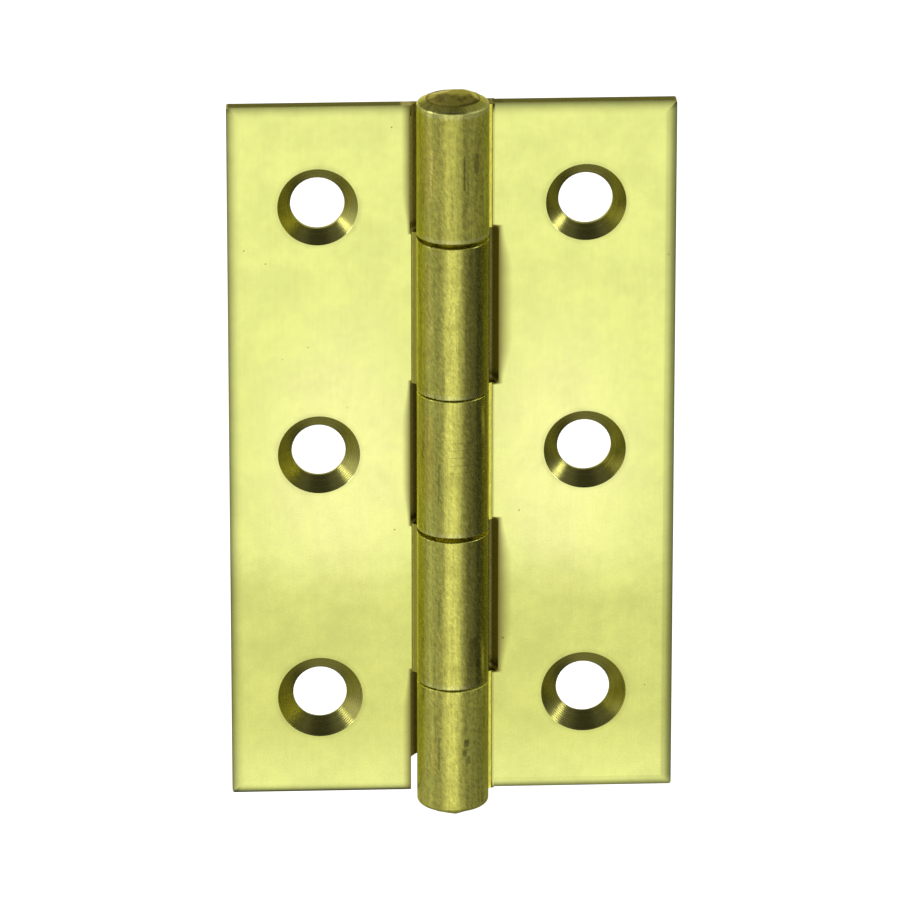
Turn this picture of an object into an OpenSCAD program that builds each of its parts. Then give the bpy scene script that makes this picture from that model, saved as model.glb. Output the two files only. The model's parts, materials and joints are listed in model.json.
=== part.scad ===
// Narrow butt hinge, drawn brass, shown lying open
// Two leaves of one drawn section each, their knuckles milled to mesh, on one riveted pin
// Origin: on the pin's axis, at half its length
// +Z up along the pin, +X over the right leaf, -Y out of the countersunk front
// All sizes in millimetres

/* [Leaves] */
// Height of both leaves, along the pin
leaf_length = 76; // [62:0.5:120]
// Width over both leaves when the hinge lies open
open_width = 46.2; // [40:0.2:90]
// Thickness of each leaf
leaf_thickness = 1.8; // [1.4:0.05:2.2]
// Width of the border where polishing has rolled the front face over
rolled_width = 1.1; // [0.3:0.1:1.6]
// Depth to which the border is rolled over at the leaf's edge
rolled_depth = 0.3; // [0.1:0.05:0.5]
// Radius of the back edges of the leaves
back_edge_radius = 0.2; // [0.1:0.05:0.6]
// Radius of the leaves' outer corners, seen from the front
leaf_corner_radius = 0.3; // [0.1:0.1:3]

/* [Barrel] */
// Outer diameter of the knuckles
barrel_diameter = 7.5; // [6.6:0.1:10]
// Length that the barrel stands past the upper ends of the leaves
upper_overhang = 0.9; // [0.25:0.05:1.5]
// Length that the barrel stands past the lower ends of the leaves
lower_overhang = 0.3; // [0.25:0.05:1.5]
// Length of the right leaf's middle knuckle, to the middle of the gaps beside it
middle_knuckle_length = 15.4; // [10:0.1:18]
// Length of each knuckle on the left leaf, to the middle of the gaps beside it
inner_knuckle_length = 16.85; // [10:0.05:18]
// End play: gap between neighbouring knuckles when the left leaf is centred
knuckle_gap = 0.24; // [0.18:0.02:0.4]
// Distance that the left leaf has slid down the pin, within the end play
left_leaf_drop = 0.16; // [0:0.02:0.16]
// Radius on the rims where two knuckles meet
knuckle_rim_radius = 0.15; // [0.05:0.05:0.3]
// Slope of the cone at each end of the barrel, in degrees
end_cone_angle = 22; // [15:1:40]
// Radius worn on to the rims where the barrel meets its end cones
barrel_rim_radius = 0.4; // [0.1:0.05:0.4]
// Radius of the fillet between the knuckles and the front of their leaf
root_fillet_radius = 0.8; // [0.1:0.05:1]

/* [Notches] */
// Gap between the left leaf's hollow notches and the right leaf's knuckles
left_notch_clearance = 1; // [0.9:0.05:1.6]
// Gap between the right leaf's hollow notches and the left leaf's knuckles
right_notch_clearance = 1.45; // [0.9:0.05:1.6]
// Distance from each end of a knuckle to the end of the notch that it turns in
notch_end_clearance = 0.4; // [0.3:0.05:0.6]
// Radius left by the cutter in the notches' corners
notch_corner_radius = 0.6; // [0.2:0.05:0.8]
// Length of the slot cut right through the left leaf at the foot of its lowest notch
slot_length = 3.8; // [1:0.1:6]
// Gap between that slot and the barrel
slot_clearance = 0.55; // [0.3:0.05:0.9]

/* [Screw holes] */
// Distance from each end of a leaf to the first hole's centre
hole_end_distance = 10.8; // [7:0.1:14]
// Distance from a leaf's long edge to its row of holes
hole_edge_distance = 9.3; // [6:0.1:11]
// Diameter of the holes for the screws' shanks
hole_diameter = 5.6; // [4:0.1:6.4]
// Diameter of the top countersinks at the front of the leaves
top_countersink_diameter = 8.3; // [7.6:0.05:9]
// Diameter of the middle countersinks
middle_countersink_diameter = 8.55; // [7.6:0.05:9]
// Diameter of the bottom countersinks
bottom_countersink_diameter = 8.9; // [7.6:0.05:9]
// Angle across the cone of each countersink, in degrees
countersink_angle = 92; // [90:1:110]

/* [Pin] */
// Diameter of the pin
pin_diameter = 4; // [3:0.1:4.5]
// Length of the pin over both riveted heads
pin_length = 79.7; // [79.4:0.1:84]
// Diameter of the riveted heads where they leave the barrel's ends
pin_head_diameter = 5.6; // [5:0.1:6]
// Diameter of the hammered flat on the upper head
upper_flat_diameter = 2.6; // [1:0.1:3.4]
// Diameter of the hammered flat on the lower head
lower_flat_diameter = 1.4; // [1:0.1:3.4]
// Radius between the side of each head and its flat
pin_flat_radius = 0.2; // [0.1:0.05:0.4]
// Depth of the countersunk seats that the heads are riveted into
pin_seat_depth = 0.8; // [0.4:0.1:1.5]
// Running clearance round the pin in the left leaf's knuckles
running_clearance = 0.05; // [0.02:0.01:0.1]

/* [Hidden] */
$fn = 48;

drawn_brass = [0.80, 0.76, 0.40];
pin_brass = [0.62, 0.57, 0.30];

// A cut runs this far past the face that it opens
cut = 1;

barrel_r = barrel_diameter / 2;
pin_r = pin_diameter / 2;
pin_head_r = pin_head_diameter / 2;
half_length = leaf_length / 2;
half_width = open_width / 2;

// The backs of the leaves are level with the back of the barrel
back_y = barrel_r;
front_y = barrel_r - leaf_thickness;

// Heights of the places where the barrel changes from one leaf to the other
upper_seam = middle_knuckle_length / 2;
outer_seam = upper_seam + inner_knuckle_length;
cone_length = (barrel_r - pin_head_r) * tan(end_cone_angle);
upper_cone_end = half_length + upper_overhang + cone_length;
lower_cone_end = half_length + lower_overhang + cone_length;

// Each span is the lowest and highest point of a knuckle, with half a gap taken off
half_gap = knuckle_gap / 2;
middle_span = [half_gap - upper_seam, upper_seam - half_gap];
inner_spans = [for (side = [-1, 1]) let (centre = side * (upper_seam + outer_seam) / 2,
    reach = inner_knuckle_length / 2 - half_gap) [centre - reach, centre + reach]];
end_spans = [[-half_length, -outer_seam - half_gap], [outer_seam + half_gap, half_length]];

hole_x = half_width - hole_edge_distance;
hole_z = half_length - hole_end_distance;
countersinks = [
    [hole_z, top_countersink_diameter],
    [0, middle_countersink_diameter],
    [-hole_z, bottom_countersink_diameter],
];

// A bar's section with its two far corners rounded: from x = 0 to width, y = 0 to depth
module bar_section(width, depth, radius) {
    square([width - radius, depth]);
    translate([0, radius]) square([width, depth - 2 * radius]);
    for (y = [radius, depth - radius]) translate([width - radius, y]) circle(radius);
}

// Section of a leaf's plate: its front, at y = 0, rolls over towards x = width, and its back edge is rounded
module leaf_section(width) {
    roll_r = (rolled_width * rolled_width + rolled_depth * rolled_depth) / (2 * rolled_depth);
    back_corner = [width - back_edge_radius, leaf_thickness - back_edge_radius];
    difference() {
        square([width, leaf_thickness]);
        difference() {
            translate([width - rolled_width, -cut]) square([rolled_width + cut, rolled_depth + cut]);
            translate([width - rolled_width, roll_r]) circle(roll_r);
        }
        difference() {
            translate(back_corner) square(back_edge_radius + cut);
            translate(back_corner) circle(back_edge_radius);
        }
    }
}

// Flat plate of a leaf, from the plane of the pin out to its long edge
module plate() {
    intersection() {
        translate([0, front_y, -half_length]) linear_extrude(leaf_length) leaf_section(half_width);
        // Both ends rolled over in the same way
        translate([0, front_y, 0]) rotate([90, 0, 90]) linear_extrude(half_width)
            for (side = [0, 1]) mirror([0, side]) rotate(90) mirror([0, 1]) leaf_section(half_length);
        // Outline from the front, with its two outer corners
        translate([0, back_y + cut, -half_length]) rotate([90, 0, 0])
            linear_extrude(leaf_thickness + 2 * cut)
            bar_section(half_width, leaf_length, leaf_corner_radius);
    }
}

// Section of a knuckle with the root that runs out into its leaf
module knuckle_section() {
    reach = barrel_r + root_fillet_radius;
    fillet_y = front_y - root_fillet_radius;
    fillet_x = sqrt(reach * reach - fillet_y * fillet_y);
    touch = barrel_r / reach;
    circle(barrel_r);
    translate([0, front_y]) square([fillet_x, leaf_thickness]);
    difference() {
        polygon([[0, 0], [fillet_x * touch, fillet_y * touch], [fillet_x, fillet_y],
            [fillet_x, front_y + leaf_thickness / 2], [0, front_y + leaf_thickness / 2]]);
        translate([fillet_x, fillet_y]) circle(root_fillet_radius);
    }
}

module knuckle(span) {
    translate([0, 0, span[0]]) linear_extrude(span[1] - span[0]) knuckle_section();
}

// Ring of waste that leaves a knuckle's upper rim rounded, round the part clear of its leaf
module rim_waste(z) {
    exposed_from = 95;
    exposed_angle = 280;
    translate([0, 0, z - knuckle_rim_radius])
        rotate([0, 0, exposed_from]) rotate_extrude(angle = exposed_angle) difference() {
            translate([barrel_r - knuckle_rim_radius, 0]) square(knuckle_rim_radius + cut);
            translate([barrel_r - knuckle_rim_radius, 0]) circle(knuckle_rim_radius);
        }
}

// Hollow notch for a knuckle of the other leaf, milled round the pin's axis
module notch(span, clearance) {
    translate([0, 0, span[0]]) rotate_extrude()
        bar_section(barrel_r + clearance, span[1] - span[0], notch_corner_radius);
}

// Slot between the barrel and a leaf, right through the leaf and out of its lower end
module through_slot() {
    translate([0, 0, -half_length - cut])
        cube([barrel_r + slot_clearance, back_y + cut, slot_length + cut]);
}

// Countersunk screw hole through a leaf, cut from the front
module screw_hole(countersink_diameter) {
    hole_r = hole_diameter / 2;
    slope = 1 / tan(countersink_angle / 2);
    cone_depth = (countersink_diameter / 2 - hole_r) * slope;
    translate([0, front_y, 0]) rotate([-90, 0, 0]) {
        translate([0, 0, -cut]) cylinder(h = leaf_thickness + 2 * cut, r = hole_r);
        translate([0, 0, -cut]) cylinder(h = cone_depth + cut, r1 = hole_r + (cone_depth + cut) / slope,
            r2 = hole_r);
    }
}

module screw_holes() {
    for (row = countersinks) translate([hole_x, 0, row[0]]) screw_hole(row[1]);
}

// End of the barrel, standing past the leaf, with its cone up to the riveted head
module barrel_cap(cone_end) {
    cone_start = cone_end - cone_length;
    translate([0, 0, half_length]) cylinder(h = cone_start - half_length, r = barrel_r);
    translate([0, 0, cone_start]) cylinder(h = cone_length, r1 = barrel_r, r2 = pin_head_r);
}

// Ring of waste that leaves the rim between the barrel and its end cone rounded
module cap_waste(cone_end) {
    radius = barrel_rim_radius;
    rim_x = barrel_r - radius;
    rim_z = cone_end - cone_length - radius * (1 - sin(end_cone_angle)) / cos(end_cone_angle);
    rotate_extrude() translate([rim_x, rim_z]) difference() {
        polygon([[0, 0], [radius + cut, 0], [radius + cut, radius + cut],
            [(radius + cut) * sin(end_cone_angle), (radius + cut) * cos(end_cone_angle)]]);
        circle(radius);
    }
}

// Countersunk seat that a head of the pin is riveted into
module pin_seat(cone_end) {
    translate([0, 0, cone_end - pin_seat_depth]) cylinder(h = pin_seat_depth, r1 = pin_r, r2 = pin_head_r);
}

module right_leaf() {
    bore_end = max(upper_cone_end, lower_cone_end) + cut;
    color(drawn_brass) difference() {
        union() {
            difference() {
                plate();
                for (span = inner_spans) notch([span[0] - notch_end_clearance, span[1] + notch_end_clearance],
                    right_notch_clearance);
            }
            knuckle(middle_span);
            for (span = end_spans) knuckle(span);
            barrel_cap(upper_cone_end);
            mirror([0, 0, 1]) barrel_cap(lower_cone_end);
        }
        for (side = [0, 1]) mirror([0, 0, side]) {
            rim_waste(middle_span[1]);
            mirror([0, 0, 1]) rim_waste(-end_spans[1][0]);
        }
        cap_waste(upper_cone_end);
        mirror([0, 0, 1]) cap_waste(lower_cone_end);
        pin_seat(upper_cone_end);
        mirror([0, 0, 1]) pin_seat(lower_cone_end);
        translate([0, 0, -bore_end]) cylinder(h = 2 * bore_end, r = pin_r);
        screw_holes();
    }
}

module left_leaf() {
    bore_r = pin_r + running_clearance;
    waste_end = half_length + notch_corner_radius + cut;
    color(drawn_brass) translate([0, 0, -left_leaf_drop]) mirror([1, 0, 0]) difference() {
        union() {
            difference() {
                plate();
                notch([middle_span[0] - notch_end_clearance, middle_span[1] + notch_end_clearance],
                    left_notch_clearance);
                notch([-waste_end, end_spans[0][1] + notch_end_clearance], left_notch_clearance);
                notch([end_spans[1][0] - notch_end_clearance, waste_end], left_notch_clearance);
                through_slot();
            }
            for (span = inner_spans) knuckle(span);
        }
        for (side = [0, 1]) mirror([0, 0, side]) {
            rim_waste(inner_spans[1][1]);
            mirror([0, 0, 1]) rim_waste(-inner_spans[1][0]);
        }
        translate([0, 0, -half_length]) cylinder(h = leaf_length, r = bore_r);
        screw_holes();
    }
}

// Outline of one half of the pin, cut off at its length: its shank, the cone in the seat and the head
module pin_outline(cone_end, flat_r) {
    top = pin_length / 2;
    side_angle = atan2(top - cone_end, pin_head_r - flat_r);
    // The rounding starts on the head's side and ends on its flat
    tangent = pin_flat_radius * tan(side_angle / 2);
    arc_x = flat_r - tangent;
    arc_y = top - pin_flat_radius;
    intersection() {
        union() {
            square([pin_r, cone_end]);
            polygon([[0, cone_end - pin_seat_depth], [pin_r, cone_end - pin_seat_depth],
                [pin_head_r, cone_end],
                [flat_r + tangent * cos(side_angle), top - tangent * sin(side_angle)],
                [arc_x, arc_y], [0, arc_y]]);
        }
        square([pin_head_r + cut, top]);
    }
    intersection() {
        union() {
            translate([arc_x, arc_y]) circle(pin_flat_radius);
            translate([0, arc_y]) square([arc_x, pin_flat_radius]);
        }
        translate([0, arc_y]) square([pin_head_r, top]);
    }
}

module hinge_pin() {
    color(pin_brass) {
        rotate_extrude() pin_outline(upper_cone_end, upper_flat_diameter / 2);
        mirror([0, 0, 1]) rotate_extrude() pin_outline(lower_cone_end, lower_flat_diameter / 2);
    }
}

right_leaf();
left_leaf();
hinge_pin();
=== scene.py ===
"""Narrow butt hinge in polished drawn brass, lying open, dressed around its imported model."""
import json
import math

import bmesh
import bpy
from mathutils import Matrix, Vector


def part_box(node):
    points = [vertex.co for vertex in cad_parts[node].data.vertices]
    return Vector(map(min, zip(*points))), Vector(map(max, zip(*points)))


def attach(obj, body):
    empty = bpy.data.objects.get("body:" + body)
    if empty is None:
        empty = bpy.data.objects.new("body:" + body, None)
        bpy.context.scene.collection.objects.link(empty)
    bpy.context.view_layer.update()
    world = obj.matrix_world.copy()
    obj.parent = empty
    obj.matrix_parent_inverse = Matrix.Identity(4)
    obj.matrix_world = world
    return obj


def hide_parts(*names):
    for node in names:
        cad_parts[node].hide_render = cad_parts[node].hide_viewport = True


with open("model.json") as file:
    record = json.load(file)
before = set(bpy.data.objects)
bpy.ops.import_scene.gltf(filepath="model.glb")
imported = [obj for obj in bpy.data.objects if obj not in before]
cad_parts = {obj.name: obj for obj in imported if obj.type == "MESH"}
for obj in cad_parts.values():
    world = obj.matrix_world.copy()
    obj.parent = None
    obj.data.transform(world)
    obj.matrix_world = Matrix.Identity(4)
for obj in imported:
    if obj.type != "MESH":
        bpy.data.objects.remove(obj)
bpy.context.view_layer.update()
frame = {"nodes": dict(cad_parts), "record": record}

MM = 0.001

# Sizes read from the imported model, in millimetres


def node_box(name):
    low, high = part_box(name)
    return low / MM, high / MM


PIN_LOW, PIN_HIGH = node_box("hinge_pin")
LEAF_LOW, LEAF_HIGH = node_box("right_leaf")
MOUNTS = {mount["name"]: mount for mount in frame["record"]["mounts"]}
BARREL_R = -LEAF_LOW.y
BACK_Y = BARREL_R


def hole_centres(side):
    """X of a leaf's row of screw holes and the heights of its three holes, from the top down."""
    upper = MOUNTS[f"{side}_upper_screws"]
    lower = MOUNTS[f"{side}_lower_screws"]
    reach = upper["dims"]["spacing_y_mm"] / 2
    middle = upper["pos_m"][2] / MM
    return upper["pos_m"][0] / MM, (middle + reach, middle - reach, lower["pos_m"][2] / MM - reach)


# The left leaf hangs this much lower on the pin
LEFT_DROP = (MOUNTS["right_upper_screws"]["pos_m"][2] - MOUNTS["left_upper_screws"]["pos_m"][2]) / MM

# Sizes of the leaves that their boxes don't give
FRONT_Y = 1.95
COUNTERSINK_R = (4.15, 4.275, 4.45)
INNER_SEAM = 7.7
OUTER_SEAM = 24.55
HALF_GAP = 0.12
LEAF_END = 38.0
# Distance from the pin's plane to the front edges of each leaf's notches, and what they run past a knuckle
NOTCH_EDGE = {"right": 4.82, "left": 4.33}
NOTCH_END = 0.4

# Camera: the photograph's viewing angle, from a little to the left and above the hinge lying open

ELEVATION = 21.0
AZIMUTH = -2.5
DISTANCE = 900.0
PIXELS_PER_MM = 9.66
IMAGE_SIZE = 900
SENSOR = 36.0
AIM = Vector((-0.293, 0.0, 0.904))
CLIP_START = 0.01
CLIP_END = 20.0


def direction(azimuth, elevation):
    """Unit vector at an azimuth from the hinge's front towards +X, and an elevation, both in degrees."""
    azimuth, elevation = math.radians(azimuth), math.radians(elevation)
    return Vector((math.sin(azimuth) * math.cos(elevation), -math.cos(azimuth) * math.cos(elevation),
                   math.sin(elevation)))


def add_object(name, data):
    made = bpy.data.objects.new(name, data)
    bpy.context.scene.collection.objects.link(made)
    return made


def make_camera():
    data = bpy.data.cameras.new("camera")
    data.sensor_width = SENSOR
    data.lens = SENSOR * PIXELS_PER_MM * DISTANCE / IMAGE_SIZE
    data.clip_start = CLIP_START
    data.clip_end = CLIP_END
    camera = add_object("camera", data)
    back = direction(AZIMUTH, ELEVATION)
    camera.location = (AIM + back * DISTANCE) * MM
    camera.rotation_euler = back.to_track_quat("Z", "Y").to_euler()
    bpy.context.scene.camera = camera


# Node trees


class Tree:
    """Builds a node tree. A value is a number, a tuple or another node's output."""

    def __init__(self, tree):
        self.tree = tree
        tree.nodes.clear()

    def put(self, socket, value):
        if isinstance(value, bpy.types.NodeSocket):
            self.tree.links.new(value, socket)
        else:
            if socket.type == "RGBA" and len(value) == 3:
                value = (*value, 1.0)
            socket.default_value = value

    def node(self, kind, inputs=None, **settings):
        """A node with some inputs, given by name or place."""
        made = self.tree.nodes.new(kind)
        for name, value in settings.items():
            setattr(made, name, value)
        for name, value in (inputs or {}).items():
            self.put(made.inputs[name], value)
        return made

    def math(self, operation, *values):
        return self.node("ShaderNodeMath", dict(enumerate(values)), operation=operation).outputs[0]

    def chain(self, operation, values):
        """One operation of two values, carried on from the first value to the last."""
        result = values[0]
        for value in values[1:]:
            result = self.math(operation, result, value)
        return result

    def total(self, *values):
        return self.chain("ADD", values)

    def product(self, *values):
        return self.chain("MULTIPLY", values)

    def least(self, *values):
        return self.chain("MINIMUM", values)

    def most(self, *values):
        return self.chain("MAXIMUM", values)

    def minus(self, first, second):
        return self.math("SUBTRACT", first, second)

    def size(self, value):
        return self.math("ABSOLUTE", value)

    def length(self, first, second):
        """Square root of the sum of two squares."""
        return self.math("SQRT", self.total(self.product(first, first), self.product(second, second)))

    def vector_math(self, operation, *values, out=0):
        return self.node("ShaderNodeVectorMath", dict(enumerate(values)), operation=operation).outputs[out]

    def scale(self, vector, factors):
        return self.vector_math("MULTIPLY", vector, factors)

    def tint(self, colour, factor):
        """Colour times a number that may vary over the surface."""
        return self.scale(colour, self.combine(factor, factor, factor))

    def combine(self, x, y, z):
        return self.node("ShaderNodeCombineXYZ", {0: x, 1: y, 2: z}).outputs[0]

    def mix(self, factor, first, second):
        """From the first colour to the second."""
        return self.node("ShaderNodeMix", {0: factor, 6: first, 7: second}, data_type="RGBA").outputs[2]

    def blend(self, factor, first, second):
        """From the first number to the second."""
        return self.node("ShaderNodeMix", {0: factor, 2: first, 3: second}, data_type="FLOAT").outputs[0]

    def ramp(self, value, start, end, low=0.0, high=1.0):
        """Smooth step from low at start to high at end."""
        inputs = {"Value": value, "From Min": start, "From Max": end, "To Min": low, "To Max": high}
        return self.node("ShaderNodeMapRange", inputs, interpolation_type="SMOOTHSTEP").outputs[0]

    def vary(self, noise, low, high):
        """From low to high over the span that holds most of a noise."""
        return self.ramp(noise, 0.3, 0.7, low, high)

    def band(self, value, middle, half, soft):
        """1 within half of the middle, falling to 0 over soft beyond it."""
        return self.ramp(self.size(self.minus(value, middle)), half + soft, half)

    def noise(self, vector, scale, detail, roughness):
        inputs = {"Vector": vector, "Scale": scale, "Detail": detail, "Roughness": roughness}
        return self.node("ShaderNodeTexNoise", inputs).outputs[0]

    def specks(self, point, spacing, size, share):
        """1 in scattered dots about size across, spacing apart, in that share of the cells."""
        cells = self.node("ShaderNodeTexVoronoi", {"Vector": point, "Scale": 1 / spacing}).outputs
        chance = self.node("ShaderNodeSeparateColor", {"Color": cells["Color"]}).outputs[0]
        dot = self.ramp(cells["Distance"], size / spacing, 0.4 * size / spacing)
        return self.product(dot, self.math("LESS_THAN", chance, share))


class Finish:
    """What one kind of surface gives the shader: its colour, its roughness and its height in millimetres."""

    def __init__(self, colour, roughness, height):
        self.colour = colour
        self.roughness = roughness
        self.height = height

    def under(self, tree, share, upper):
        """This finish, with another one over it where share is 1."""
        return Finish(tree.mix(share, self.colour, upper.colour),
                      tree.blend(share, self.roughness, upper.roughness),
                      tree.blend(share, self.height, upper.height))


def new_material(name):
    """A material and its empty node tree."""
    material = bpy.data.materials.new(name)
    material.use_nodes = True
    return material, Tree(material.node_tree)


def position(tree):
    """The point in the hinge's own frame, in millimetres, whole and as x, y and z."""
    place = tree.node("ShaderNodeTexCoord").outputs["Object"]
    point = tree.scale(place, (1 / MM,) * 3)
    parts = tree.node("ShaderNodeSeparateXYZ", {0: point})
    return point, parts.outputs[0], parts.outputs[1], parts.outputs[2]


def brass_shader(tree, finish):
    bump = tree.node("ShaderNodeBump", {"Strength": 1.0, "Distance": MM, "Height": finish.height})
    brass = tree.node("ShaderNodeBsdfPrincipled", {"Base Color": finish.colour, "Metallic": 1.0,
                                                   "Roughness": finish.roughness, "Normal": bump.outputs[0],
                                                   "Specular Tint": EDGE_TINT})
    tree.node("ShaderNodeOutputMaterial", {"Surface": brass.outputs[0]})


# Colours of the brass

FACE = (0.85, 0.885, 0.275)
FACE_HIGHLIGHT = (0.96, 0.965, 0.36)
FACE_SHADED = (0.69, 0.71, 0.19)
BARREL = (0.69, 0.67, 0.14)
BARREL_DULL = (0.43, 0.4, 0.07)
BARREL_WEAR_AND_HIGHLIGHT = (0.78, 0.77, 0.27)
WARM = (0.68, 0.56, 0.1)
GOLDEN = (0.95, 0.85, 0.25)
# Fillets: a painted highlight on the right leaf's, painted shade on the left leaf's, darkest by the barrel
ROOT_HIGHLIGHT_AND_SHADE = {"right": (0.95, 0.89, 0.14), "left": (0.72, 0.7, 0.18)}
ROOT_SHADE = (0.3, 0.27, 0.05)
MILLED = {"right": (0.34, 0.29, 0.12), "left": (0.46, 0.41, 0.15)}
MILLED_DARK = {"right": (0.12, 0.095, 0.012), "left": (0.2, 0.165, 0.03)}
NOTCH_SHADE_BROWN = (0.16, 0.125, 0.025)
SAWN = (0.5, 0.48, 0.22)
SAWN_END_SHADE = (0.2, 0.19, 0.04)
TURNED = (0.46, 0.44, 0.12)
HAMMERED = (0.66, 0.59, 0.1)
HAMMERED_WARM = (0.76, 0.66, 0.15)
# Grime in pits, scratches, dark lines and patches, and painted shade round the pin's heads
GRIME_AND_SHADE = (0.09, 0.075, 0.025)
# Colour of what brass reflects at a grazing angle
EDGE_TINT = (0.92, 0.88, 0.5)

# Polished faces. Sizes in all finishes are in millimetres.

# The oval about the middle of each leaf that is paler, a painted highlight: its centre and its half sizes
PALE_X, PALE_Z = 11.5, -1.0
PALE_HALF_WIDTH, PALE_HALF_HEIGHT = 9.5, 17.0
# The darker band below it, painted shade: its height, its half width and its soft rim
SHADE_BAND_Z, SHADE_BAND_HALF, SHADE_BAND_SOFT = -23.5, 5.5, 8.5
# Pits: how far apart they are, about how wide, and the share of places that have one
FINE_PITS = (2.2, 0.13, 0.3)
COARSE_PITS = (4.5, 0.22, 0.22)
# The darker ring of painted shade round a countersink: how wide it is, and what it leaves of the tone
HALO_WIDTH, HALO_TONE = 0.6, 0.86
# The border that polishing has rolled over, darkened with painted shade: how wide its painted shade is, how
# many times narrower it is at the foot, and how dark
SHADE_WIDTH, FOOT_NARROWER, SHADE = 1.5, 1.6, 0.8
# How wide the roll is that the bump eases, and by how much
ROLL_WIDTH, ROLL_EASED = 1.1, 0.17
# The painted brown shade beside the notches: its width at half their length, the share of that at their ends,
# the distance from an end to the full width, how fast the shade fades and how strong it is
NOTCH_SHADE_WIDTH = {"right": 1.5, "left": 0.9}
NOTCH_SHADE_AT_END = 0.35
NOTCH_SHADE_TAPER = 5.0
NOTCH_SHADE_FADE, NOTCH_SHADE_STRENGTH = 1.2, 0.95
# How far past the left leaf's ends the painted shade takes its end notches to run, since they are open there
OPEN_END = 4.0


def notch_shade(tree, side, x, z):
    """Share of painted brown shade beside a leaf's notches, widest at half their length."""
    if side == "right":
        up = tree.size(z)
        spans = ((INNER_SEAM + HALF_GAP, OUTER_SEAM - HALF_GAP),)
    else:
        up = tree.size(tree.total(z, LEFT_DROP))
        spans = ((-INNER_SEAM, INNER_SEAM), (OUTER_SEAM, LEAF_END + OPEN_END))
    out = tree.minus(tree.size(x), NOTCH_EDGE[side])
    inside = tree.most(*(tree.minus((high - low) / 2 + NOTCH_END, tree.size(tree.minus(up, (low + high) / 2)))
                         for low, high in spans))
    width = tree.ramp(inside, 0.0, NOTCH_SHADE_TAPER, NOTCH_SHADE_AT_END * NOTCH_SHADE_WIDTH[side], NOTCH_SHADE_WIDTH[side])
    painted_shade = tree.minus(1.0, tree.least(tree.math("DIVIDE", out, width), 1.0))
    return tree.product(tree.math("POWER", painted_shade, NOTCH_SHADE_FADE), tree.ramp(inside, -0.15, 0.15), NOTCH_SHADE_STRENGTH)


def face_finish(tree, side, point, x, y, z, rim):
    """Polished front and back: clouds of tarnish, fine grain, pits, borders rolled over by polishing, painted
    highlight and painted shade.
    """
    clouds = tree.noise(point, scale=0.22, detail=5.0, roughness=0.62)
    mottle = tree.noise(tree.scale(point, (1.0, 1.0, 0.8)), scale=0.9, detail=3.0, roughness=0.6)
    lines = tree.noise(tree.scale(point, (1.0, 1.0, 0.05)), scale=4.0, detail=3.0, roughness=0.6)
    grain = tree.noise(point, scale=4.5, detail=3.0, roughness=0.75)
    waves = tree.noise(point, scale=0.3, detail=1.0, roughness=0.5)

    # Paler about the middle of each leaf, a painted highlight, and darker below it, painted shade, where the
    # speckle is stronger too
    oval = tree.length(tree.product(tree.minus(tree.size(x), PALE_X), 1 / PALE_HALF_WIDTH),
                       tree.product(tree.minus(z, PALE_Z), 1 / PALE_HALF_HEIGHT))
    uneven = tree.product(tree.minus(clouds, 0.5), 0.9)
    pale = tree.ramp(tree.total(oval, uneven), 1.25, 0.35)
    dull = tree.band(tree.total(z, tree.product(uneven, 6.0)), SHADE_BAND_Z, SHADE_BAND_HALF, SHADE_BAND_SOFT)
    speckle = tree.ramp(z, 2.0, -12.0, 0.4, 1.0)
    tone = tree.total(tree.vary(clouds, 0.955, 1.035), tree.vary(mottle, -0.018, 0.018),
                      tree.vary(lines, -0.01, 0.01),
                      tree.product(speckle, tree.ramp(grain, 0.25, 0.75, -0.035, 0.035)))
    back = tree.math("GREATER_THAN", y, BACK_Y - 0.1)
    # Painted shade in a ring round each countersink, on the front only
    halo = tree.ramp(tree.total(rim, tree.product(uneven, 0.8)), HALO_WIDTH, 0.0, 1.0, HALO_TONE)
    tone = tree.product(tone, tree.most(halo, back))
    colour = tree.mix(pale, FACE, FACE_HIGHLIGHT)
    colour = tree.mix(tree.product(dull, 0.85), colour, FACE_SHADED)
    pits = tree.most(tree.specks(point, *FINE_PITS), tree.specks(point, *COARSE_PITS))
    colour = tree.mix(tree.product(pits, 0.6), tree.tint(colour, tone), GRIME_AND_SHADE)

    # Where polishing has rolled it over, the border darkens towards the edge with painted shade, less widely
    # at the foot
    from_side = tree.minus(LEAF_HIGH.x, tree.size(x))
    from_top = tree.minus(LEAF_END, z)
    from_foot = tree.minus(z, -LEAF_END)
    from_edge = tree.least(from_side, from_top, tree.product(from_foot, FOOT_NARROWER))
    shade = tree.minus(1.0, tree.least(tree.product(from_edge, 1 / SHADE_WIDTH), 1.0))
    colour = tree.tint(colour, tree.minus(1.0, tree.product(shade, shade, SHADE)))
    # Painted brown shade beside the notches
    colour = tree.mix(notch_shade(tree, side, x, z), colour, NOTCH_SHADE_BROWN)

    # The front's roll is gentler to look at than the solid's
    rolled = [tree.most(tree.minus(ROLL_WIDTH, distance), 0.0)
              for distance in (from_side, from_top, from_foot)]
    eased = tree.total(*(tree.product(depth, depth, ROLL_EASED) for depth in rolled))
    height = tree.total(tree.product(waves, 0.012), tree.product(lines, 0.0006), tree.product(grain, 0.0012),
                        tree.product(pits, -0.004), tree.product(eased, tree.minus(1.0, back)))
    return Finish(colour, tree.vary(clouds, 0.21, 0.14), height)


# Barrel

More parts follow.
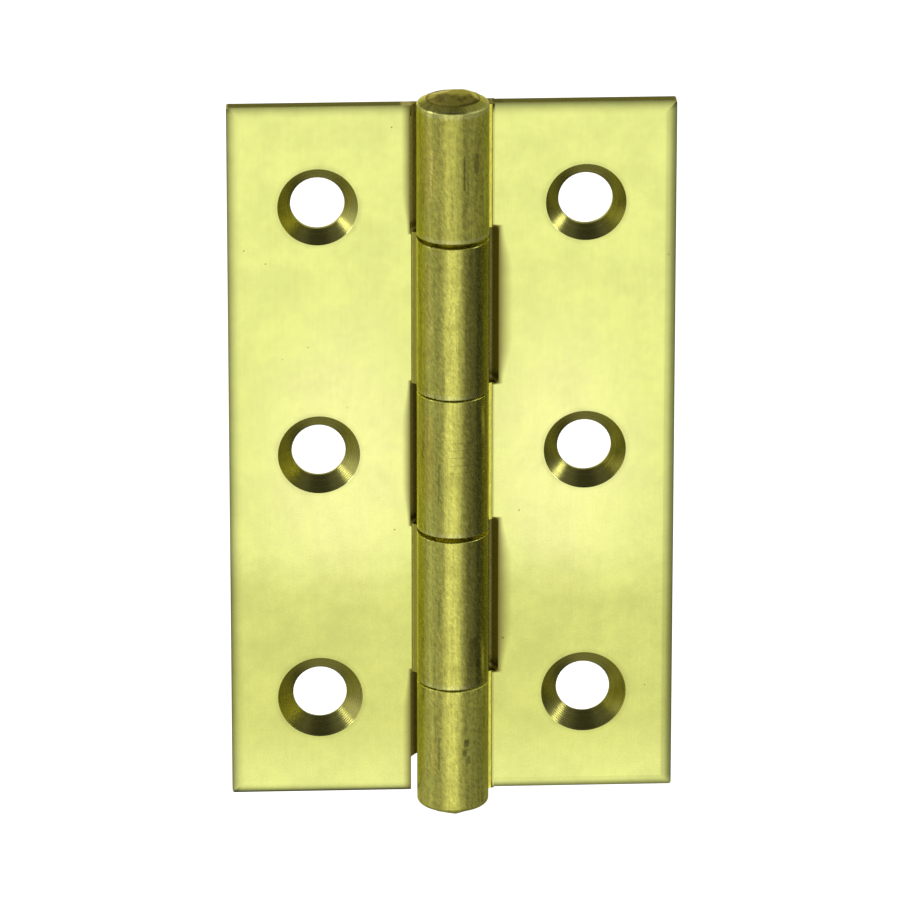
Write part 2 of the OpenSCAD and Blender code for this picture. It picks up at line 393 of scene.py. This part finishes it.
# Marks on the barrel: its place round the barrel and its height, its half sizes, its soft rim, what it is and
# how strong. Places round the barrel start at the front and grow towards +X.
MARKS = (
    (-2.5, 32.4, 0.3, 2.0, 0.5, "warm", 0.6),
    (-2.45, 33.4, 0.05, 1.2, 0.12, "golden", 0.9),
    (-2.6, 31.4, 0.06, 1.1, 0.12, "golden", 0.8),
    (-2.5, 29.9, 0.05, 0.5, 0.12, "golden", 0.6),
    (-3.2, 33.0, 0.3, 4.0, 0.6, "warm", 0.35),
    (1.08, 32.4, 0.04, 1.8, 0.1, "dark", 0.55),
    (1.5, 31.3, 0.03, 1.1, 0.1, "dark", 0.4),
    (2.45, 33.3, 0.2, 0.9, 0.3, "dark", 0.5),
    (-0.2, 29.0, 0.05, 1.5, 0.12, "dark", 0.25),
    (-3.1, 1.2, 0.4, 4.2, 0.7, "warm", 0.6),
    (-1.65, -1.4, 0.04, 2.0, 0.1, "dark", 0.5),
    (0.8, 3.0, 1.2, 0.02, 0.06, "dark", 0.3),
    (0.9, 2.2, 1.3, 0.02, 0.06, "dark", 0.3),
    (0.7, 1.4, 1.2, 0.02, 0.06, "dark", 0.35),
    (1.0, 0.5, 1.4, 0.02, 0.06, "dark", 0.35),
    (0.8, -0.3, 1.3, 0.02, 0.06, "dark", 0.3),
    (-1.65, -16.0, 0.04, 1.3, 0.09, "dark", 0.5),
    (2.2, -20.5, 0.3, 1.4, 0.5, "dark", 0.35),
    (-3.2, 17.0, 0.4, 5.0, 0.7, "warm", 0.25),
    (-2.75, -31.9, 0.03, 1.9, 0.09, "warm", 0.7),
    (-2.2, -31.9, 0.03, 1.9, 0.09, "warm", 0.7),
    (-2.5, -30.1, 0.25, 0.03, 0.09, "warm", 0.7),
    (-2.5, -33.7, 0.25, 0.03, 0.09, "warm", 0.7),
    (-1.65, -31.8, 0.03, 1.8, 0.07, "dark", 0.65),
    (1.35, -30.6, 0.18, 0.3, 0.2, "dark", 0.7),
    (1.15, -31.7, 0.14, 0.25, 0.2, "dark", 0.6),
    (1.6, -32.5, 0.1, 0.35, 0.2, "dark", 0.5),
)
STAINS = {"warm": WARM, "golden": GOLDEN, "dark": GRIME_AND_SHADE}

# How the grain slants: what each of its two places takes of the place round the barrel and of the height
GRAIN_ACROSS = (0.87, 0.5)
GRAIN_ALONG = (-0.22, 0.38)
# A worn rim, paler with a painted highlight: how far its middle is above the knuckle's end, its half height
# and its soft border
RIM_ABOVE, RIM_HALF, RIM_SOFT = 0.15, 0.2, 0.3
# Height of the end of the rim below the upper head
TOP_RIM = LEAF_END + 0.45


def barrel_finish(tree, side, x, y, z):
    """Drawn barrel: streaks along the pin, slanting grain, worn lower rims with painted highlights, painted
    light and shade on the end knuckles, and a few stains.
    """
    around = tree.product(tree.math("ARCTAN2", x, tree.product(y, -1.0)), BARREL_R)
    wrapped = tree.combine(around, z, 0.0)
    slanted = tree.combine(*(tree.total(tree.product(around, first), tree.product(z, second))
                             for first, second in (GRAIN_ACROSS, GRAIN_ALONG)), 0.0)
    streaks = tree.noise(tree.scale(wrapped, (1.0, 0.05, 1.0)), scale=2.2, detail=4.0, roughness=0.65)
    fine_streaks = tree.noise(tree.scale(wrapped, (1.0, 0.15, 1.0)), scale=7.0, detail=2.0, roughness=0.6)
    grain = tree.noise(slanted, scale=3.4, detail=3.0, roughness=0.65)
    dots = tree.noise(wrapped, scale=5.0, detail=2.0, roughness=0.7)
    flecks = tree.ramp(tree.noise(slanted, scale=2.6, detail=1.0, roughness=0.5), 0.56, 0.68)
    patches = tree.noise(wrapped, scale=0.3, detail=4.0, roughness=0.6)

    # The end knuckles are rougher, most so to the right, where painted light also makes them paler, and the
    # top one is duller and more even than others
    outer = tree.ramp(tree.size(z), OUTER_SEAM - HALF_GAP, OUTER_SEAM + HALF_GAP)
    top = tree.ramp(z, OUTER_SEAM - HALF_GAP, OUTER_SEAM + HALF_GAP)
    rougher_and_lit = tree.product(outer, tree.ramp(around, 0.8, 2.2))
    dull = tree.most(tree.product(top, 0.4), tree.ramp(patches, 0.42, 0.72, 0.0, 0.4))
    tone = tree.total(tree.vary(streaks, 0.82, 1.1), tree.vary(grain, -0.17, 0.17),
                      tree.vary(fine_streaks, -0.07, 0.07), tree.vary(dots, -0.08, 0.08),
                      tree.product(flecks, 0.14))
    tone = tree.product(tone, tree.ramp(z, 5.0, -22.0, 1.0, 1.08),
                        tree.total(1.0, tree.product(rougher_and_lit, 0.35)))
    # Painted shade darkens the top knuckle's front and painted light makes its flanks paler
    beside_front = tree.size(tree.minus(around, 0.1))
    tone = tree.product(tone, tree.blend(top, 1.0, tree.ramp(beside_front, 0.4, 1.6, 0.9, 1.17)))
    colour = tree.mix(dull, BARREL, BARREL_DULL)

    # Each knuckle's lower rim is worn pale under a painted highlight, and so is the rim below the upper head
    if side == "right":
        ends = (OUTER_SEAM + HALF_GAP, -INNER_SEAM + HALF_GAP, TOP_RIM)
    else:
        ends = (INNER_SEAM + HALF_GAP - LEFT_DROP, -OUTER_SEAM + HALF_GAP - LEFT_DROP)
    wear_and_highlight = tree.total(*(tree.band(z, end + RIM_ABOVE, RIM_HALF, RIM_SOFT) for end in ends))
    colour = tree.mix(tree.product(wear_and_highlight, 0.6), colour, BARREL_WEAR_AND_HIGHLIGHT)

    # Stains and scratches
    scratched = 0.0
    ragged = tree.ramp(dots, 0.3, 0.6, 0.45, 1.0)
    for place, height, half_width, half_height, soft, kind, strength in MARKS:
        if (INNER_SEAM < abs(height) < OUTER_SEAM) != (side == "left"):
            continue
        mark = tree.product(tree.band(around, place, half_width, soft),
                            tree.band(z, height, half_height, soft), ragged, strength)
        colour = tree.mix(mark, colour, STAINS[kind])
        if kind == "dark":
            scratched = tree.most(scratched, mark)

    rough = tree.total(tree.vary(patches, 0.2, 0.3), tree.vary(grain, -0.04, 0.04),
                       tree.product(outer, 0.06), tree.product(rougher_and_lit, 0.2))
    height = tree.total(tree.product(streaks, 0.006), tree.product(grain, 0.006), tree.product(dots, 0.0022),
                        tree.product(scratched, -0.01))
    return Finish(tree.tint(colour, tone), rough, height)


# Fillets, countersinks, cut edges and notches

# The dark line in the right leaf's fillets where polishing stops: its place, its half width and its soft rim
ROOT_LINE = (4.22, 0.04, 0.1)
# Where the left leaf's fillets start and end to take painted shade, coming towards the barrel
ROOT_FADE = (4.35, 3.85)
# How far the bump lifts a fillet for each millimetre that it lies deeper
ROOT_RISE = 1.3
# Distance between two rings that the countersink's cutter left
RING_PITCH = 0.17
# Distance from the pin where the notches' finish starts and ends to give way to the sawn edges'
NOTCH_FADE = (5.0, 5.4)
# Where the colour of a notch changes from beside the barrel to its edge
MILLED_FADE = {"right": (4.1, 4.3), "left": (3.85, 4.35)}
# The bright line in the right leaf's notches: its place, its half width and its soft rim
MILLED_LINE = (4.05, 0.03, 0.05)
# Heights between which the left leaf's notches grow brighter, and how bright the top one is
TOP_NOTCH_FADE = (10.0, 24.0)
TOP_NOTCH_TONE = 1.8


def root_finish(tree, side, point, x, y):
    """Fillets between the knuckles and their leaf: rough as drawn, with a dark line where polishing stops,
    a painted highlight on the right leaf's and painted shade on the left leaf's.
    """
    grain = tree.noise(tree.scale(point, (1.0, 1.0, 0.25)), scale=5.0, detail=2.0, roughness=0.6)
    out = tree.size(x)
    colour = tree.tint(ROOT_HIGHLIGHT_AND_SHADE[side], tree.vary(grain, 0.8, 1.15))
    if side == "right":
        colour = tree.mix(tree.product(tree.band(out, *ROOT_LINE), 0.75), colour, GRIME_AND_SHADE)
    else:
        # Painted shade on the left fillets, growing towards the barrel
        colour = tree.mix(tree.ramp(out, *ROOT_FADE), colour, ROOT_SHADE)
    height = tree.total(tree.product(grain, 0.004), tree.product(tree.minus(y, FRONT_Y), ROOT_RISE))
    return Finish(colour, 0.3, height)


def turned_finish(tree, from_hole, point):
    """Countersinks: rings left by the cutter, which spread what they reflect along the cone."""
    rings = tree.math("SINE", tree.product(from_hole, 2 * math.pi / RING_PITCH))
    ring_noise = tree.noise(tree.combine(from_hole, 0.0, 0.0), scale=7.0, detail=3.0, roughness=0.6)
    grain = tree.noise(point, scale=5.0, detail=2.0, roughness=0.6)
    tone = tree.total(tree.vary(ring_noise, 0.86, 1.08), tree.vary(grain, -0.06, 0.06))
    height = tree.total(tree.product(rings, 0.0015), tree.product(ring_noise, 0.008),
                        tree.product(grain, 0.0015))
    return Finish(tree.tint(TURNED, tone), tree.vary(ring_noise, 0.2, 0.28), height)


def cut_finish(tree, side, point, x, z):
    """Edges cut across the drawn bar, and the milled notches, which are darker."""
    marks = tree.noise(tree.scale(point, (0.3, 1.0, 1.0)), scale=2.4, detail=3.0, roughness=0.6)
    grain = tree.noise(point, scale=6.0, detail=2.0, roughness=0.6)
    out = tree.size(x)
    notch = tree.ramp(out, NOTCH_FADE[1], NOTCH_FADE[0])
    tone = tree.total(tree.vary(marks, 0.78, 1.12), tree.vary(grain, -0.1, 0.1))
    height = tree.total(tree.product(marks, 0.012), tree.product(grain, 0.002))
    edge = tree.ramp(out, *MILLED_FADE[side])
    if side == "right":
        milled = tree.mix(edge, MILLED[side], MILLED_DARK[side])
        milled = tree.mix(tree.product(tree.band(out, *MILLED_LINE), 0.6), milled, SAWN)
    else:
        milled = tree.mix(edge, MILLED_DARK[side], MILLED[side])
        milled = tree.tint(milled, tree.ramp(z, *TOP_NOTCH_FADE, 1.0, TOP_NOTCH_TONE))
    # The leaf's end faces are darker: painted shade
    end = tree.ramp(tree.size(z), LEAF_END - 0.25, LEAF_END - 0.15)
    sawn = tree.mix(end, SAWN, SAWN_END_SHADE)
    return Finish(tree.tint(tree.mix(notch, sawn, milled), tone), tree.vary(marks, 0.28, 0.4), height)


# Where a finish starts and ends to give way to the next one: how far outside the barrel for its own finish
# and for the fillets', and how far outside a countersink
BARREL_FADE = (0.02, 0.12)
ROOT_END = (1.05, 1.15)
TURNED_FADE = (0.02, 0.1)
# Width of the border that is rolled over, at a leaf's sides and at its ends: where it starts and ends to fade
SIDE_BORDER = (1.1, 1.2)
END_BORDER = (1.2, 1.3)
# How deep the polished front reaches over the leaf's middle and in its border
FRONT_DEPTH, BORDER_DEPTH = 0.04, 0.33


def leaf_material(side):
    """Brass of one leaf: polished faces, drawn barrel, turned countersinks and cut edges and notches."""
    material, tree = new_material(f"brass_{side}")
    point, x, y, z = position(tree)

    # Distance from the nearest hole's axis, and how far outside its countersink
    hole_x, hole_heights = hole_centres(side)
    distances = [tree.length(tree.minus(x, hole_x), tree.minus(z, hole_z)) for hole_z in hole_heights]
    from_hole = tree.least(*distances)
    rim = tree.least(*(tree.minus(distance, radius) for distance, radius in zip(distances, COUNTERSINK_R)))

    # Where each finish lies: the front rolls over in a border round the leaf, and the plate's rest is cut
    from_pin = tree.length(x, y)
    barrel = tree.ramp(from_pin, BARREL_R + BARREL_FADE[1], BARREL_R + BARREL_FADE[0])
    border = tree.most(tree.ramp(tree.size(x), LEAF_HIGH.x - SIDE_BORDER[1], LEAF_HIGH.x - SIDE_BORDER[0]),
                       tree.ramp(tree.size(z), LEAF_END - END_BORDER[1], LEAF_END - END_BORDER[0]))
    front = tree.blend(border, FRONT_Y + FRONT_DEPTH, FRONT_Y + BORDER_DEPTH)
    in_plate = tree.product(tree.ramp(tree.minus(y, front), -0.02, 0.02),
                            tree.ramp(y, BACK_Y - 0.02, BACK_Y - 0.06))
    cut = tree.product(in_plate, tree.minus(1.0, barrel))
    turned = tree.product(cut, tree.ramp(rim, TURNED_FADE[1], TURNED_FADE[0]))
    root = tree.product(tree.ramp(from_pin, BARREL_R + ROOT_END[1], BARREL_R + ROOT_END[0]),
                        tree.ramp(y, FRONT_Y - 0.01, FRONT_Y - 0.05))

    finish = face_finish(tree, side, point, x, y, z, rim)
    finish = finish.under(tree, root, root_finish(tree, side, point, x, y))
    finish = finish.under(tree, cut, cut_finish(tree, side, point, x, z))
    finish = finish.under(tree, turned, turned_finish(tree, from_hole, point))
    finish = finish.under(tree, barrel, barrel_finish(tree, side, x, y, z))
    brass_shader(tree, finish)
    return material


def pin_material():
    """Dull brass of the pin, warmer towards -X, darker in patches, and with painted shade round its rim."""
    material, tree = new_material("brass_pin")
    point, x, y, z = position(tree)
    patches = tree.noise(point, scale=0.8, detail=3.0, roughness=0.6)
    grain = tree.noise(point, scale=6.0, detail=3.0, roughness=0.7)
    warm = tree.ramp(tree.total(x, tree.product(patches, 2.0)), 0.9, 0.0)
    colour = tree.mix(warm, HAMMERED, HAMMERED_WARM)
    # Painted shade round the rim of each head, where it sits in its seat
    rim = tree.ramp(tree.length(x, y), HEAD_R - 0.5, HEAD_R - 0.05)
    dark = tree.most(tree.ramp(patches, 0.5, 0.7, 0.0, 0.6), tree.product(rim, 0.7))
    colour = tree.tint(tree.mix(dark, colour, GRIME_AND_SHADE), tree.vary(grain, 0.8, 1.2))
    height = tree.total(tree.product(grain, 0.01), tree.product(patches, 0.03))
    brass_shader(tree, Finish(colour, tree.ramp(patches, 0.35, 0.65, 0.3, 0.45), height))
    return material


# Pin with its hammered heads

PIN_R = 2.0
HEAD_R = 2.8
SEAT_DEPTH = 0.8
HEAD_STEP = 0.05
# How far the heads' facets round into each other
SOFTNESS = 0.012
RINGS = 22
SEGMENTS = 96
# Each hammer blow on a head: the way that it slopes, its distance from the flat's centre and its slope
TOP_BLOWS = ((-90, 1.3, 0.29), (-50, 0.95, 0.3), (-8, 1.0, 0.35), (40, 1.05, 0.37),
             (88, 1.3, 0.55), (135, 1.3, 0.4), (180, 1.3, 0.36), (-135, 1.2, 0.3))
FOOT_BLOWS = ((-110, 0.5, 0.5), (-65, 0.6, 0.55), (-20, 0.5, 0.48), (30, 0.65, 0.52),
              (75, 0.5, 0.5), (120, 0.6, 0.47), (165, 0.5, 0.52), (-155, 0.6, 0.5))
# Each end of the pin: the way that it points, how far out its seat's mouth and its tip are, where its flat is
# along X, and its blows
PIN_ENDS = ((1, LEAF_HIGH.z, PIN_HIGH.z, 0.5, TOP_BLOWS), (-1, -LEAF_LOW.z, -PIN_LOW.z, 0.0, FOOT_BLOWS))


def head_height(x, y, seat, tip, flat_x, blows):
    """Height of a head: a flat on top, cut back by a sloping facet for each blow, no lower than its rim."""
    heights = [tip]
    for azimuth, distance, slope in blows:
        a = math.radians(azimuth)
        out = (x - flat_x) * math.sin(a) - y * math.cos(a)
        heights.append(tip - slope * (out - distance))
    lowest = min(heights)
    soft = -SOFTNESS * math.log(sum(math.exp((lowest - height) / SOFTNESS) for height in heights))
    return max(lowest + soft, seat + HEAD_STEP)


def ring(mesh, radius, height_at):
    """Ring of vertices round the pin's axis, at heights that a function of x and y gives."""
    vertices = []
    for index in range(SEGMENTS):
        a = 2 * math.pi * index / SEGMENTS
        x, y = radius * math.sin(a), -radius * math.cos(a)
        vertices.append(mesh.verts.new((x * MM, y * MM, height_at(x, y) * MM)))
    return vertices


def make_pin():
    """One rod with a riveted head at each end, seated in the barrel's cones."""
    mesh = bmesh.new()
    rings = []
    centres = []
    for sign, seat, tip, flat_x, blows in PIN_ENDS:
        def surface(x, y):
            return sign * head_height(x, y, seat, tip, flat_x, blows)

        centres.append(mesh.verts.new((0.0, 0.0, surface(0.0, 0.0) * MM)))
        side = [ring(mesh, HEAD_R * step / RINGS, surface) for step in range(1, RINGS + 1)]
        side.append(ring(mesh, HEAD_R, lambda x, y: sign * seat))
        side.append(ring(mesh, PIN_R, lambda x, y: sign * (seat - SEAT_DEPTH)))
        rings += side if sign > 0 else side[::-1]
    for index in range(SEGMENTS):
        following = (index + 1) % SEGMENTS
        mesh.faces.new((centres[0], rings[0][index], rings[0][following]))
        mesh.faces.new((centres[1], rings[-1][following], rings[-1][index]))
        for upper, lower in zip(rings, rings[1:]):
            mesh.faces.new((upper[index], lower[index], lower[following], upper[following]))
    bmesh.ops.recalc_face_normals(mesh, faces=mesh.faces)
    data = bpy.data.meshes.new("pin")
    mesh.to_mesh(data)
    mesh.free()
    data.polygons.foreach_set("use_smooth", [True] * len(data.polygons))
    pin = add_object("riveted_pin", data)
    data.materials.append(pin_material())
    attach(pin, "root")
    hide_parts("hinge_pin")


# Floor, world and lamps, in metres and degrees

WHITE = (1.0, 1.0, 1.0)
FLOOR_HALF = 4.0
FLOOR_Z = -0.13
FLOOR_PAINT = (0.8, 0.8, 0.8)
FLOOR_GLOW = 0.75
# The world's strength where it lights what is dull
SOFT_LIGHT = 0.55
# Each soft dark card round the hinge as polished metal sees it: azimuth and elevation, radius of its dark
# middle and of its soft rim, and the share of the white that it takes
CARDS = (
    (68, -21, 14, 60, 0.87),
    (122, -21, 30, 54, 0.75),
    (-51, -21, 12, 30, 0.62),
    (-120, -21, 24, 50, 0.62),
    (0, -86, 30, 60, 0.7),
    (0, 66, 12, 32, 0.65),
)
# What is left of the white high up, and the elevations where it starts and ends to fade
CEILING = 0.16
FADE = (4, 30)
# The azimuth of each lamp, and what both have alike
LAMPS = {"lamp_left": -77, "lamp_right": 77}
LAMP_ELEVATION = 24
LAMP_DISTANCE = 0.6
LAMP_SIZE = 0.13
LAMP_WATTS = 0.24


def make_floor():
    """Pale floor under the hinge, white to the camera apart from shadows."""
    corners = [(-1, -1), (1, -1), (1, 1), (-1, 1)]
    mesh = bpy.data.meshes.new("floor")
    mesh.from_pydata([(x * FLOOR_HALF, y * FLOOR_HALF, 0) for x, y in corners], [], [(0, 1, 2, 3)])
    floor = add_object("floor", mesh)
    floor.location.z = FLOOR_Z
    material, tree = new_material("pale_floor")
    paths = tree.node("ShaderNodeLightPath").outputs
    seen = tree.most(paths["Is Camera Ray"], paths["Is Glossy Ray"], paths["Is Transmission Ray"])
    paint = tree.node("ShaderNodeBsdfDiffuse", {"Color": FLOOR_PAINT})
    glow = tree.node("ShaderNodeEmission", {"Color": WHITE, "Strength": tree.product(seen, FLOOR_GLOW)})
    both = tree.node("ShaderNodeAddShader", {0: paint.outputs[0], 1: glow.outputs[0]})
    tree.node("ShaderNodeOutputMaterial", {"Surface": both.outputs[0]})
    mesh.materials.append(material)
    floor.visible_glossy = False


def make_world():
    """White studio with a dark ceiling; reflections also see soft dark cards."""
    world = bpy.data.worlds.new("studio")
    bpy.context.scene.world = world
    world.use_nodes = True
    tree = Tree(world.node_tree)
    towards = tree.vector_math("NORMALIZE", tree.node("ShaderNodeTexCoord").outputs["Generated"])
    height = tree.node("ShaderNodeSeparateXYZ", {0: towards}).outputs[2]
    low, high = (math.sin(math.radians(angle)) for angle in FADE)
    light = tree.ramp(height, low, high, 1.0, CEILING)
    for azimuth, elevation, inner, outer, share in CARDS:
        centre = tuple(direction(azimuth, elevation))
        nearness = tree.vector_math("DOT_PRODUCT", towards, centre, out=1)
        rim, middle = math.cos(math.radians(outer)), math.cos(math.radians(inner))
        light = tree.product(light, tree.ramp(nearness, rim, middle, 1.0, 1.0 - share))
    paths = tree.node("ShaderNodeLightPath").outputs
    plain = tree.most(paths["Is Camera Ray"], paths["Is Transmission Ray"])
    strength = tree.blend(paths["Is Glossy Ray"], SOFT_LIGHT, light)
    strength = tree.blend(plain, strength, 1.0)
    glow = tree.node("ShaderNodeBackground", {"Color": WHITE, "Strength": strength})
    tree.node("ShaderNodeOutputWorld", {"Surface": glow.outputs[0]})


def make_lamp(name, azimuth):
    """Square area lamp aimed at the hinge's centre."""
    data = bpy.data.lights.new(name, "AREA")
    data.shape = "SQUARE"
    data.size = LAMP_SIZE
    data.energy = LAMP_WATTS
    lamp = add_object(name, data)
    towards = direction(azimuth, LAMP_ELEVATION)
    lamp.location = towards * LAMP_DISTANCE
    lamp.rotation_euler = towards.to_track_quat("Z", "Y").to_euler()


make_camera()
for side in ("right", "left"):
    leaf = frame["nodes"][f"{side}_leaf"]
    leaf.data.materials.clear()
    leaf.data.materials.append(leaf_material(side))
make_pin()
make_floor()
make_world()
for name, azimuth in LAMPS.items():
    make_lamp(name, azimuth)

bpy.context.scene.view_settings.view_transform = "Standard"
